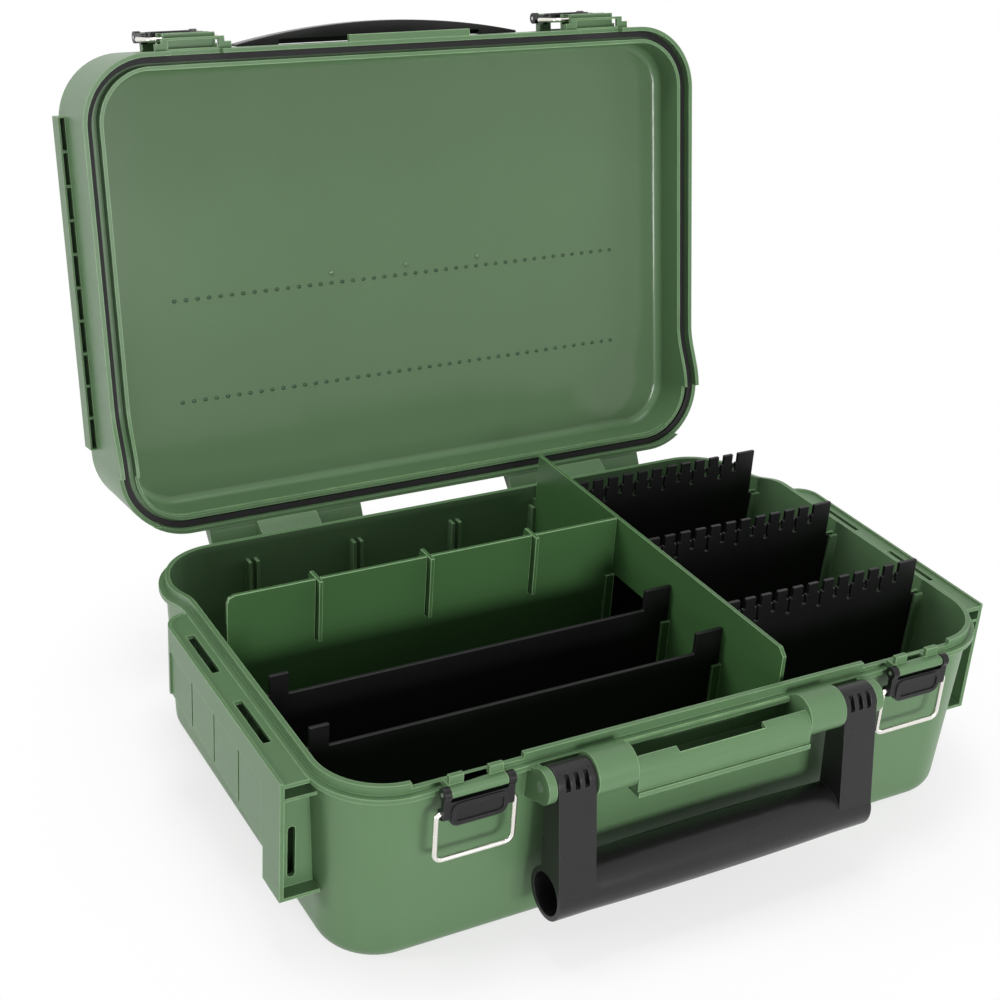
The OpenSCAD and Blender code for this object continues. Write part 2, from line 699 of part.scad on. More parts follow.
strip_half = 44;
strip_out = 4.5;
notch_top = rim_h + 0.5;
module lid_tray() {
    color("#74996b") opened() difference() {
        union() {
            intersection() {
                union() {
                    swept(tray_hx, tray_hy, tray_r) tray_wall_section();
                    swept(inner_hx, inner_hy, inner_r) tray_rim_section();
                }
                rim_slab(rim_h - tongue_h + lid_gap, rim_h + far / 2);
            }
            translate([0, 0, lid_z + recess_h]) linear_extrude(panel_t)
                round_rect(hx - corner_r - 0.5, hy - corner_r + 1.5, 0.01);
            tray_web();
            both_sides(latch_x) keeper();
            for (s = [0, 1]) mirror([s, 0, 0]) ladder();
            translate([-strip_half, -tray_hy - strip_out, lid_z + lid_gap])
                cube([2 * strip_half, strip_out + tray_wall / 2, 3.5]);
            for (y = lure_rail_ys) lure_rail(y);
            both_sides(hinge_x) lid_knuckle();
            both_sides(hinge_x) tray_cover_knuckles();
        }
        // notches in the outer wall over the base's latch brackets
        for (s = [-1, 1]) translate([s * latch_x - bracket_half - 0.6, -tray_hy - 1, lid_z - 1])
            cube([2 * bracket_half + 1.2, tray_wall + 2, notch_top - lid_z + 1]);
        // the inner rim is shorter at the hinges, so that it swings clear of the tongue
        translate([-far / 2, drop_end, rim_h - 40]) cube([far, inner_hy + 0.5 - drop_end,
            under_lid + 4.2 - rim_h + 40]);
        both_sides(hinge_x) translate([0, axis_y, axis_z]) rod(-far / 8, far / 8, hinge_pin_r + pin_fit);
        both_sides(hinge_x) translate([0, cover_axis_y, cover_axis_z])
            rod(-far / 8, far / 8, cover_pin_r + pin_fit);
    }
}

// ---------------------------------------------------------------- outer cover, drawn closed
cover_in_hx = tray_hx - tray_draft - tray_wall;
cover_in_hy = tray_hy - tray_draft - tray_wall;
cover_in_r = tray_r - tray_draft - tray_wall;
cover_z = tray_top + 0.3;
lip_in = 3.2;
module outer_cover() {
    color("#6a8f62") opened() difference() {
        union() {
            translate([0, 0, cover_z]) linear_extrude(cover_t)
                round_rect(tray_hx - tray_draft, tray_hy - tray_draft, tray_r - tray_draft);
            translate([0, 0, cover_z + cover_t - 0.01]) linear_extrude(cover_rise)
                round_rect(tray_hx - 22, tray_hy - 22, tray_r - 16);
            translate([0, 0, cover_z - cover_lip_h]) round_ring(cover_in_hx - lip_in, cover_in_hy - lip_in,
                cover_in_r - lip_in, skin, cover_lip_h + 0.5);
            for (y = [-1, 1]) translate([-tray_hx + 40, y * 40 - 1, cover_z - 4])
                cube([2 * tray_hx - 80, 2, 4.5]);
            both_sides(hinge_x) {
                translate([0, cover_axis_y, cover_axis_z]) rod(-cover_mid_half, cover_mid_half, cover_knuckle_r);
                translate([-cover_mid_half, tray_hy - tray_draft - 6, cover_axis_z + 0.6])
                    cube([2 * cover_mid_half, cover_axis_y - tray_hy + tray_draft + 6, cover_knuckle_r - 0.6]);
            }
            both_sides(latch_x) difference() {
                translate([0, -latch_y, cover_latch_z]) latch_bracket(latch_y - tray_hy + tray_draft + 1.5);
                translate([-far / 8, -tray_hy + tray_draft - 0.7, cover_z - 2 * bracket_r])
                    cube([far / 4, 4 * bracket_r, 2 * bracket_r]);
            }
        }
        both_sides(hinge_x) translate([0, cover_axis_y, cover_axis_z])
            rod(-far / 8, far / 8, cover_pin_r + pin_fit);
        translate([0, 0, cover_z + cover_t + cover_rise - 1]) linear_extrude(2)
            round_rect(tray_hx - 40, tray_hy - 40, tray_r - 26);
        both_sides(hinge_x) for (s = [0, 1]) mirror([s, 0, 0])
            translate([cover_mid_half, tray_hy - tray_draft - 3.5, cover_z - 1])
                cube([cover_hinge_half - cover_mid_half + slack, 10, cover_t + 2]);
    }
}

// ---------------------------------------------------------------- seals
module lid_gasket() {
    color("#1c1c1c") opened() intersection() {
        translate([0, 0, rim_h - 40]) round_ring(hx + wall + 0.2, hy + wall + 0.2, corner_r + wall + 0.2,
            wall + 0.7, 2 * tray_h);
        rim_slab(seal_floor - seal_t, seal_floor);
    }
}
module cover_gasket() {
    color("#1c1c1c") opened() translate([0, 0, cover_z - 2.4])
        round_ring(cover_in_hx - slack, cover_in_hy - slack, cover_in_r - slack, lip_in - slack, 2.4);
}

// ---------------------------------------------------------------- hinge and latch pins
module hinge_pin(r, half, y, z) {
    translate([0, y, z]) rod(-half + 0.5, half - 0.5, r);
}
module hinge_pin_left() {
    color("silver") translate([-hinge_x, 0, 0]) hinge_pin(hinge_pin_r, hinge_half, axis_y, axis_z);
}
module hinge_pin_right() {
    color("silver") translate([hinge_x, 0, 0]) hinge_pin(hinge_pin_r, hinge_half, axis_y, axis_z);
}
module cover_hinge_pins() {
    color("silver") opened() both_sides(hinge_x)
        hinge_pin(cover_pin_r, cover_hinge_half, cover_axis_y, cover_axis_z);
}
module latch_pin(z) {
    translate([0, -latch_y, z]) rod(-lever_w / 2 - 0.3, lever_w / 2 + 0.3, latch_pin_r);
}
module base_latch_pins() {
    color("silver") both_sides(latch_x) latch_pin(latch_z);
}
module cover_latch_pins() {
    color("silver") opened() both_sides(latch_x) latch_pin(cover_latch_z);
}

// ---------------------------------------------------------------- latch levers and bails
arm_gap = 0.3;
bail_hole_l = lever_w / 2 - bracket_half - arm_gap - 0.6;
lever_corner_r = 6;
// Lever with its pivot at the origin, hanging down: two arms and a plate with a rounded frame on it
module lever() {
    half = lever_w / 2;
    front = lever_t - 0.5;
    plate_top = -bracket_r - 1.4;
    plate_h = lever_l + plate_top;
    plate_half = half - 3.5;
    frame_in = 3.2;
    color("#1b1b1b") difference() {
        union() {
            for (s = [0, 1]) mirror([s, 0, 0]) plate_x(bracket_half + arm_gap, half) {
                circle(boss_r);
                translate([bail_in, -bail_drop]) circle(boss_r - 0.4);
                translate([-front, -bail_drop - 2]) square([lever_t + 0.3, bail_drop + 2]);
            }
            translate([0, -front, plate_top - plate_h / 2]) rotate([-90, 0, 0]) linear_extrude(lever_t)
                round_rect(plate_half, plate_h / 2, lever_corner_r);
            translate([-half, -front, -bail_drop - 2]) cube([2 * half, lever_t, bail_drop + 2 + plate_top]);
            translate([0, -front - 0.8, plate_top - plate_h / 2]) rotate([-90, 0, 0]) linear_extrude(1.2)
                difference() {
                    round_rect(plate_half - 1, plate_h / 2 - 1, lever_corner_r - 1);
                    round_rect(plate_half - frame_in, plate_h / 2 - frame_in, lever_corner_r - frame_in);
                }
        }
        rod(-far, far, latch_pin_r + pin_fit);
        for (s = [0, 1]) mirror([s, 0, 0]) translate([half - bail_hole_l, bail_in, -bail_drop])
            rod(0, far, wire_r - 0.2 + pin_fit);
    }
}
// Wire bail with its pivot at the origin, hanging down by its length
bail_top_r = 2;
bail_bend_r = 4.5;
module bail(l) {
    half = lever_w / 2;
    leg_x = half + 0.3 + bail_top_r;
    color("#d9d6cc") {
        for (s = [0, 1]) mirror([s, 0, 0]) {
            rod(half - bail_hole_l + 0.3, leg_x - bail_top_r, wire_r - 0.2);
            translate([leg_x - bail_top_r, 0, -bail_top_r]) rotate([90, 0, 0])
                rotate_extrude(angle = 90) translate([bail_top_r, 0]) circle(wire_r);
            translate([leg_x, 0, -l + bail_bend_r]) cylinder(h = l - bail_bend_r - bail_top_r, r = wire_r);
            translate([leg_x - bail_bend_r, 0, -l + bail_bend_r]) rotate([90, 0, 0]) rotate([0, 0, -90])
                rotate_extrude(angle = 90) translate([bail_bend_r, 0]) circle(wire_r);
        }
        translate([0, 0, -l]) rod(-leg_x + bail_bend_r, leg_x - bail_bend_r, wire_r);
    }
}
module base_lever_at(x) {
    translate([x, -latch_y, latch_z]) lever();
}
module base_bail_at(x) {
    translate([x, -latch_y + bail_in, latch_z - bail_drop]) bail(base_bail_l);
}
module cover_lever_at(x) {
    opened() translate([x, -latch_y, cover_latch_z]) lever();
}
module cover_bail_at(x) {
    opened() translate([x, -latch_y + bail_in, cover_latch_z - bail_drop]) bail(cover_bail_l);
}
module base_lever_left() base_lever_at(-latch_x);
module base_lever_right() base_lever_at(latch_x);
module base_bail_left() base_bail_at(-latch_x);
module base_bail_right() base_bail_at(latch_x);
module cover_lever_left() cover_lever_at(-latch_x);
module cover_lever_right() cover_lever_at(latch_x);
module cover_bail_left() cover_bail_at(-latch_x);
module cover_bail_right() cover_bail_at(latch_x);

// ---------------------------------------------------------------- handles
module front_handle() {
    grip_y = -6;
    arm_out = arm_in + arm_w;
    arm_t = 5;
    front = grip_y - grip_r + 0.6;
    color("#3a3a3c") translate([0, -pivot_y, pivot_z]) difference() {
        union() {
            for (s = [0, 1]) mirror([s, 0, 0]) {
                plate_x(arm_in, arm_out) union() {
                    circle(handle_boss_r);
                    polygon([[-handle_boss_r, 0], [front, -handle_l], [front + arm_t, -handle_l],
                        [-handle_boss_r + arm_t, 0]]);
                }
                for (x = [arm_in, arm_out - 3]) plate_x(x, x + 3) polygon([[-handle_boss_r + 1, 0],
                    [front + 1, -handle_l], [grip_y + 6, -handle_l], [4, -4], [4, 0]]);
            }
            translate([0, grip_y, -handle_l]) rotate([0, 90, 0]) rotate_extrude() polygon(concat(
                [[0, -arm_out], [grip_r, -arm_out]],
                [for (i = [0 : 12]) let (x = -arm_in + i * arm_in / 6)
                    [grip_r + grip_swell * (1 - (x / arm_in) * (x / arm_in)), x]],
                [[grip_r, arm_out], [0, arm_out]]));
        }
        for (s = [0, 1]) mirror([s, 0, 0]) {
            rod(arm_in - 1, far, handle_pin_r + pin_fit);
            translate([0, grip_y, -handle_l]) rod(arm_out - 20, far, grip_r - 3);
            for (i = [-1 : 1]) translate([(arm_in + arm_out) / 2 + i * arm_w / 4 - 1.4, -handle_boss_r - 1, 0])
                cube([2.8, 6, 11]);
        }
    }
}
module handle_pins() {
    color("silver") for (s = [0, 1]) mirror([s, 0, 0]) translate([0, -pivot_y, pivot_z])
        rod(handle_stud_in + 2.5, ear_in + ear_t, handle_pin_r);
}

// Bowed black grip along the tray's front edge
grip_half = 105;
grip_bow = 11;
grip_h = 12;
grip_bow_r = (grip_half * grip_half + grip_bow * grip_bow) / (2 * grip_bow);
module lid_grip() {
    back = tray_hy - tray_draft + 0.6;
    color("#232324") opened() translate([0, 0, tray_top - grip_h - 1]) difference() {
        intersection() {
            translate([0, grip_bow_r - back - grip_bow - 1.5, 0]) cylinder(h = grip_h, r = grip_bow_r, $fn = 720);
            translate([-grip_half, -back - 3 * grip_bow, 0]) cube([2 * grip_half, 3 * grip_bow, grip_h]);
        }
        translate([-grip_half + 30, -back - 3, -1]) cube([2 * grip_half - 60, 4, grip_h - 2]);
    }
}

// ---------------------------------------------------------------- walls inside the base
tall_top = rim_h + divider_up;
stand_z = floor_t + rest_gap;
// Clear width above the rim, inside the lid's inner rim
above_y = inner_hy - inner_rim_t - 2;
above_x = inner_hx - inner_rim_t - 2.5;
neck_z = rim_h - 20;

// Wall from front to back; its ends lean with the base's walls and step in above the rim
module main_divider() {
    low = in_hy(guide_low) - slack;
    high = in_hy(neck_z) - slack;
    clip = 4.5;
    foot = in_hy(floor_t) - in_bottom_r - slack;
    color("#7fa374") {
        plate_x(main_x - divider_t / 2, main_x + divider_t / 2) polygon([
            [-foot, stand_z], [-low, guide_low], [-high, neck_z], [-above_y, neck_z + 3],
            [-above_y, tall_top - clip], [-above_y + clip, tall_top], [above_y, tall_top],
            [above_y, neck_z + 3], [high, neck_z], [low, guide_low], [foot, stand_z]]);
        for (y = rack_ys) translate([main_x - divider_t / 2 - guide_reach / 2, y, 0])
            guide_x(rack_t, guide_low, side_guide_top);
        translate([main_x - divider_t / 2 - guide_reach / 2, long_y, 0])
            guide_x(divider_t, guide_low, side_guide_top);
        for (y = comb_ys) translate([main_x + divider_t / 2 + guide_reach / 2, y, 0])
            guide_x(comb_t, guide_low, side_guide_top);
    }
}

// Left ends of the walls lean with the base; the right ends stand at the main divider
wall_end = main_x - divider_t / 2 - slack;
function left_foot() = in_hx(floor_t) - in_bottom_r - slack;
module long_divider() {
    low = in_hx(guide_low) - slack;
    high = in_hx(neck_z) - slack;
    notch_w = divider_t + 2 * slack;
    color("#7fa374") difference() {
        plate_y(long_y, divider_t) polygon([
            [-left_foot(), stand_z], [-low, guide_low], [-high, neck_z], [-above_x, neck_z + 3],
            [-above_x, tall_top - 5], [-above_x + 1.5, tall_top - 1.5], [-above_x + 5, tall_top],
            [wall_end, tall_top], [wall_end, stand_z]]);
        for (x = cross_xs) translate([x - notch_w / 2, long_y - divider_t, tall_top - hook_h])
            cube([notch_w, 2 * divider_t, hook_h + 1]);
    }
}
module cross_divider(x) {
    y0 = long_y + divider_t / 2 + slack;
    front = long_y - 5.5;
    rear_low = in_hy(guide_low) - slack;
    rear_z = rim_h - 48;
    rear_high = in_hy(rear_z) - slack;
    foot = in_hy(floor_t) - in_bottom_r - slack;
    hook_z = tall_top - hook_h + slack;
    color("#7fa374") plate_x(x - divider_t / 2, x + divider_t / 2) polygon([
        [y0, stand_z], [y0, hook_z], [front, hook_z], [front, tall_top], [long_y + 9.5, tall_top],
        [long_y + 11, tall_top - 3], [long_y + 16, rear_z + 4], [long_y + 20, rear_z],
        [rear_high, rear_z], [rear_low, guide_low], [foot, stand_z]]);
}
module cross_divider_left() cross_divider(cross_xs[0]);
module cross_divider_middle() cross_divider(cross_xs[1]);
module cross_divider_right() cross_divider(cross_xs[2]);

module lure_rack(y) {
    low = in_hx(guide_low) - slack;
    top = rim_h - rack_down;
    high = in_hx(top) - slack;
    tab_in = high - rack_tab_w;
    tab_z = top + rack_tab_h;
    color("#19191a") plate_y(y, rack_t) polygon([
        [-left_foot(), stand_z], [-low, guide_low], [-high, top - 2], [-above_x, top + 1.5],
        [-above_x, tab_z], [-tab_in, tab_z], [-tab_in, top], [wall_end - rack_tab_w, top],
        [wall_end - rack_tab_w, tab_z], [wall_end, tab_z], [wall_end, stand_z]]);
}
module lure_rack_rear() lure_rack(rack_ys[0]);
module lure_rack_front() lure_rack(rack_ys[1]);

comb_slit_w = 1.4;
comb_hole_r = 1.6;
comb_mouth_h = 7;
module comb(y) {
    x0 = main_x + divider_t / 2 + slack;
    low = in_hx(guide_low) - slack;
    shoulder = comb_shoulder(y);
    neck = shoulder - 4;
    high = in_hx(neck) - slack;
    n = floor((above_x - tooth_w - x0 - 4) / slot_pitch);
    color("#161617") difference() {
        plate_y(y, comb_t) polygon([
            [x0, stand_z], [x0, tall_top], [above_x, tall_top], [above_x, shoulder],
            [high - 4, shoulder], [high - 4, neck], [low, guide_low], [left_foot(), stand_z]]);
        // each slot has a wide mouth, a slit and a small hole at its end
        for (i = [0 : n]) {
            x = above_x - tooth_w - i * slot_pitch - slot_w / 2;
            z = tall_top - slot_h - (i % 2) * slot_step;
            translate([x - slot_w / 2, y - comb_t, tall_top - comb_mouth_h])
                cube([slot_w, 2 * comb_t, 2 * comb_mouth_h]);
            translate([x - comb_slit_w / 2, y - comb_t, z]) cube([comb_slit_w, 2 * comb_t, far]);
            translate([x, y - comb_t, z]) rotate([-90, 0, 0]) cylinder(h = 2 * comb_t, r = comb_hole_r);
        }
    }
}
module comb_rear() comb(comb_ys[0]);
module comb_middle() comb(comb_ys[1]);
module comb_front() comb(comb_ys[2]);

// ---------------------------------------------------------------- rubber feet
foot_r = 4;
lid_foot_h = 20;
base_foot_w = 46;
base_foot_h = 24;
module rubber_foot(w, h, deep, r) {
    rotate([90, 0, 0]) mirror([0, 0, 1]) linear_extrude(deep) round_rect(w / 2, h / 2, r);
}
module lid_rear_foot() {
    y0 = tray_hy - 0.2;
    color("#171717") opened() translate([0, y0, tray_top - 16])
        rubber_foot(foot_w, lid_foot_h, hy + foot_out - y0, foot_r);
}
module base_rear_feet() {
    y0 = in_hy(base_foot_z) + wall + 0.3;
    color("#171717") both_sides(base_foot_x) translate([0, y0, base_foot_z])
        rubber_foot(base_foot_w, base_foot_h, hy + foot_out - y0, foot_r);
}

base_tub();
lid_tray();
outer_cover();
lid_gasket();
cover_gasket();
hinge_pin_left();
hinge_pin_right();
cover_hinge_pins();
base_latch_pins();
cover_latch_pins();
base_lever_left();
base_lever_right();
base_bail_left();
base_bail_right();
cover_lever_left();
cover_lever_right();
cover_bail_left();
cover_bail_right();
front_handle();
handle_pins();
lid_grip();
main_divider();
long_divider();
cross_divider_left();
cross_divider_middle();
cross_divider_right();
lure_rack_rear();
lure_rack_front();
comb_rear();
comb_middle();
comb_front();
lid_rear_foot();
base_rear_feet();
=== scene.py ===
# %% [markdown]
# # A hard fishing tackle case
# The case stands open: a deep base with dividers, a lid that is itself a shallow tray, wire latches
# and a swinging handle. Its working pieces come in as a fixed frame, at their real size and in
# metres. This script gives them rounded moulded edges, small details and finishes.

# %% Load the frame
import json
import math

import bmesh
import bpy
from mathutils import Matrix, Vector


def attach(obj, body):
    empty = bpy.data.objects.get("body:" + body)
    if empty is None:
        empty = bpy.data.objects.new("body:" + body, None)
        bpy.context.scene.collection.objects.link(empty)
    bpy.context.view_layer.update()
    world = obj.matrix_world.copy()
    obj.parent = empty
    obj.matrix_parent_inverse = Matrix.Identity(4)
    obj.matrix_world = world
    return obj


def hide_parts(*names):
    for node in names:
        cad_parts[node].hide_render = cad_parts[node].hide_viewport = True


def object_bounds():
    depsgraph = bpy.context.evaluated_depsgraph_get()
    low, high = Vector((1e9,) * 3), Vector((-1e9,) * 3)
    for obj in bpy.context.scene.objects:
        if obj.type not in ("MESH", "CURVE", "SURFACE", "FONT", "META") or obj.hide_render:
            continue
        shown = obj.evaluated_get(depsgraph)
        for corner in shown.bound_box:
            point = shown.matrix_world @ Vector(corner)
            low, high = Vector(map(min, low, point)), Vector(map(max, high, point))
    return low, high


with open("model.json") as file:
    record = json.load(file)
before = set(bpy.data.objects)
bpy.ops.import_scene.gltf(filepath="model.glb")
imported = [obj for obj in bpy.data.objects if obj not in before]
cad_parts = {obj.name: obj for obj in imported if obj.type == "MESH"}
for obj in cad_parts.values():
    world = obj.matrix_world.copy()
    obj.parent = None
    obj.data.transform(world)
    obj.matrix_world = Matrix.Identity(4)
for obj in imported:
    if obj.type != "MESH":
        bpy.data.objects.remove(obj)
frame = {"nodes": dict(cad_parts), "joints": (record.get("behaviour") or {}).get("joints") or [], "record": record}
cad_low, cad_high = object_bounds()
print("case box in metres:", [round(v, 3) for v in (*cad_low, *cad_high)])

# %% [markdown]
# ## Places that the pieces share
# The hinge's place and the lid's angle come from the frame's own joints. The lid stands open, so
# its details are drawn as if it were shut and then turned about the hinge axis, in the same way
# as the real lid swings.

# %% Places taken from the frame
joints = {joint["name"]: joint for joint in frame["joints"]}


def pivot(joint_name):
    return Vector(joints[joint_name]["pos_m"])


HINGE = pivot("lid_hinge")
LID_ANGLE = math.radians(-joints["lid_hinge"]["range_deg"][0])
OPEN = (Matrix.Translation(HINGE) @ Matrix.Rotation(-LID_ANGLE, 4, "X")
        @ Matrix.Translation(-HINGE))
print("lid opens", round(math.degrees(LID_ANGLE), 1), "degrees")

# %% [markdown]
# ## Camera
# The photograph was taken from the front left, a little above the case. The camera has the same
# place, tilt and lens, so the render can be laid over the photograph.

# %% Camera
CAMERA_PLACE = Vector((-0.52912, -0.80650, 0.65441))
CAMERA_YAW = math.radians(30.6)
CAMERA_PITCH = math.radians(26.4)
CAMERA_ROLL = math.radians(4.0)
CAMERA_LENS = 63.5
CAMERA_SENSOR = 36
CAMERA_REACH = 20


def camera_axes(yaw, pitch, roll):
    """Directions to the picture's right, to its top and into it."""
    ahead = Vector((math.sin(yaw) * math.cos(pitch), math.cos(yaw) * math.cos(pitch), -math.sin(pitch)))
    right = Vector((math.cos(yaw), -math.sin(yaw), 0))
    up = right.cross(ahead)
    return (math.cos(roll) * right + math.sin(roll) * up,
            math.cos(roll) * up - math.sin(roll) * right, ahead)


right, up, ahead = camera_axes(CAMERA_YAW, CAMERA_PITCH, CAMERA_ROLL)
camera_data = bpy.data.cameras.new("photo_camera")
camera_data.lens = CAMERA_LENS
camera_data.sensor_width = CAMERA_SENSOR
camera_data.clip_end = CAMERA_REACH
camera = bpy.data.objects.new("photo_camera", camera_data)
turn = Matrix((right, up, -ahead)).transposed().to_4x4()
camera.matrix_world = Matrix.Translation(CAMERA_PLACE) @ turn
bpy.context.scene.collection.objects.link(camera)
bpy.context.scene.camera = camera
print("camera at", [round(v, 3) for v in CAMERA_PLACE])

# %% [markdown]
# ## Shared effects
# Moulded plastic is never quite even. A very fine grain breaks up its highlights and wide soft
# patches vary its gloss. The edges are painted paler in patches, a painted highlight for the line
# of light that a rounded edge catches. There are two node groups with named inputs, one for the
# skin and one for the painted edge highlight. Each is built once, and every plastic uses both with
# its own values.


# %% Node helpers
def new_group(name, inputs, outputs):
    """An empty shader node group with its sockets, its start and its end."""
    tree = bpy.data.node_groups.new(name, "ShaderNodeTree")
    for label, kind, value in inputs:
        socket = tree.interface.new_socket(label, in_out="INPUT", socket_type=kind)
        socket.default_value = value
    for label, kind in outputs:
        tree.interface.new_socket(label, in_out="OUTPUT", socket_type=kind)
    return tree, tree.nodes.new("NodeGroupInput"), tree.nodes.new("NodeGroupOutput")


def math_node(tree, operation, a, b=None, clamp=False):
    """One sum on numbers or sockets."""
    node = tree.nodes.new("ShaderNodeMath")
    node.operation = operation
    node.use_clamp = clamp
    for socket, value in zip(node.inputs, (a, b)):
        if isinstance(value, (int, float)):
            socket.default_value = value
        elif value is not None:
            tree.links.new(value, socket)
    return node.outputs[0]


def noise(tree, vector, scale, detail, roughness=0.5):
    node = tree.nodes.new("ShaderNodeTexNoise")
    node.inputs["Detail"].default_value = detail
    node.inputs["Roughness"].default_value = roughness
    tree.links.new(vector, node.inputs["Vector"])
    if isinstance(scale, (int, float)):
        node.inputs["Scale"].default_value = scale
    else:
        tree.links.new(scale, node.inputs["Scale"])
    return node.outputs["Fac"]


# %% Moulded grain
GRAIN_DETAIL = 2
PATCH_DETAIL = 4
PATCH_ROUGHNESS = 0.6


def moulded_grain_group():
    tree, start, end = new_group(
        "moulded_grain",
        [("Vector", "NodeSocketVector", (0, 0, 0)), ("Grain Scale", "NodeSocketFloat", 2600),
         ("Patch Scale", "NodeSocketFloat", 9), ("Gloss Middle", "NodeSocketFloat", 0.35),
         ("Gloss Spread", "NodeSocketFloat", 0.08)],
        [("Height", "NodeSocketFloat"), ("Gloss", "NodeSocketFloat"), ("Patches", "NodeSocketFloat")])
    grain = noise(tree, start.outputs["Vector"], start.outputs["Grain Scale"], GRAIN_DETAIL)
    patches = noise(tree, start.outputs["Vector"], start.outputs["Patch Scale"],
                    PATCH_DETAIL, PATCH_ROUGHNESS)
    swing = math_node(tree, "SUBTRACT", patches, 0.5)
    swing = math_node(tree, "MULTIPLY", swing, start.outputs["Gloss Spread"])
    gloss = math_node(tree, "ADD", start.outputs["Gloss Middle"], swing, clamp=True)
    tree.links.new(grain, end.inputs["Height"])
    tree.links.new(gloss, end.inputs["Gloss"])
    tree.links.new(patches, end.inputs["Patches"])
    return tree


MOULDED_GRAIN = moulded_grain_group()


# %% Painted edge highlight
EDGE_REACH = 0.0009
HIGHLIGHT_STARTS = 0.99
HIGHLIGHT_IS_FULL = 0.86
HIGHLIGHT_PATCH_SCALE = 60
HIGHLIGHT_PATCH_STRENGTH = 1.8


# painted highlight: edges take a paler colour where light would catch them
def edge_highlight_group():
    tree, start, end = new_group(
        "painted_edge_highlight",
        [("Vector", "NodeSocketVector", (0, 0, 0)), ("Plain", "NodeSocketColor", (0.1, 0.1, 0.1, 1)),
         ("Highlight", "NodeSocketColor", (0.2, 0.2, 0.2, 1)), ("Amount", "NodeSocketFloat", 0.5)],
        [("Color", "NodeSocketColor"), ("Mask", "NodeSocketFloat")])
    # near an edge the rounded normal turns away from the face's own normal
    geometry = tree.nodes.new("ShaderNodeNewGeometry")
    rounded = tree.nodes.new("ShaderNodeBevel")
    rounded.samples = 4
    rounded.inputs["Radius"].default_value = EDGE_REACH
    agree = tree.nodes.new("ShaderNodeVectorMath")
    agree.operation = "DOT_PRODUCT"
    tree.links.new(rounded.outputs["Normal"], agree.inputs[0])
    tree.links.new(geometry.outputs["Normal"], agree.inputs[1])
    edge = tree.nodes.new("ShaderNodeMapRange")
    edge.inputs["From Min"].default_value = HIGHLIGHT_STARTS
    edge.inputs["From Max"].default_value = HIGHLIGHT_IS_FULL
    tree.links.new(agree.outputs["Value"], edge.inputs["Value"])
    # the paler edge colour is a painted highlight, broken into patches by this noise
    highlight_patches = noise(tree, start.outputs["Vector"], HIGHLIGHT_PATCH_SCALE, 5, 0.65)
    highlight_patches = math_node(tree, "MULTIPLY", highlight_patches, HIGHLIGHT_PATCH_STRENGTH)
    mask = math_node(tree, "MULTIPLY", edge.outputs["Result"], highlight_patches)
    mask = math_node(tree, "MULTIPLY", mask, start.outputs["Amount"], clamp=True)
    mix = tree.nodes.new("ShaderNodeMix")
    mix.data_type = "RGBA"
    tree.links.new(mask, mix.inputs["Factor"])
    tree.links.new(start.outputs["Plain"], mix.inputs["A"])
    tree.links.new(start.outputs["Highlight"], mix.inputs["B"])
    tree.links.new(mix.outputs["Result"], end.inputs["Color"])
    tree.links.new(mask, end.inputs["Mask"])
    return tree


EDGE_HIGHLIGHT = edge_highlight_group()
print("shared effects:", MOULDED_GRAIN.name, EDGE_HIGHLIGHT.name)

# %% [markdown]
# ## Plastic finishes
# One function makes every plastic here. The shell is a sage green with a satin skin, the inserts
# are a darker, more saturated green whose darkness is painted shade for the deep inside of the case,
# the racks, combs and levers are black, and the handle is a softer charcoal plastic. The panel of
# the lid is the same green with a polished face.


# %% Plastics
def plastic(name, colour, highlight_colour, gloss, gloss_spread=0.1, grain=0.25, grain_scale=2600, highlight_amount=0.8,
            variation=0.025):
    material = bpy.data.materials.new(name)
    material.use_nodes = True
    tree = material.node_tree
    shader = tree.nodes["Principled BSDF"]
    place = tree.nodes.new("ShaderNodeTexCoord").outputs["Object"]
    skin = tree.nodes.new("ShaderNodeGroup")
    skin.node_tree = MOULDED_GRAIN
    skin.inputs["Grain Scale"].default_value = grain_scale
    skin.inputs["Gloss Middle"].default_value = gloss
    skin.inputs["Gloss Spread"].default_value = gloss_spread
    # the second colour, painted on the edges, is a painted highlight
    edges = tree.nodes.new("ShaderNodeGroup")
    edges.node_tree = EDGE_HIGHLIGHT
    edges.inputs["Plain"].default_value = (*colour, 1)
    edges.inputs["Highlight"].default_value = (*highlight_colour, 1)
    edges.inputs["Amount"].default_value = highlight_amount
    tree.links.new(place, skin.inputs["Vector"])
    tree.links.new(place, edges.inputs["Vector"])
    shade = tree.nodes.new("ShaderNodeHueSaturation")
    level = tree.nodes.new("ShaderNodeMapRange")
    level.inputs["From Min"].default_value = 0.3
    level.inputs["From Max"].default_value = 0.7
    level.inputs["To Min"].default_value = 1 - variation
    level.inputs["To Max"].default_value = 1 + variation
    tree.links.new(skin.outputs["Patches"], level.inputs["Value"])
    tree.links.new(level.outputs["Result"], shade.inputs["Value"])
    tree.links.new(edges.outputs["Color"], shade.inputs["Color"])
    tree.links.new(shade.outputs["Color"], shader.inputs["Base Color"])
    tree.links.new(skin.outputs["Gloss"], shader.inputs["Roughness"])
    bump = tree.nodes.new("ShaderNodeBump")
    bump.inputs["Strength"].default_value = grain
    bump.inputs["Distance"].default_value = 0.0002
    tree.links.new(skin.outputs["Height"], bump.inputs["Height"])
    tree.links.new(bump.outputs["Normal"], shader.inputs["Normal"])
    shader.inputs["IOR"].default_value = 1.48
    shader.inputs["Specular IOR Level"].default_value = 0.3
    return material


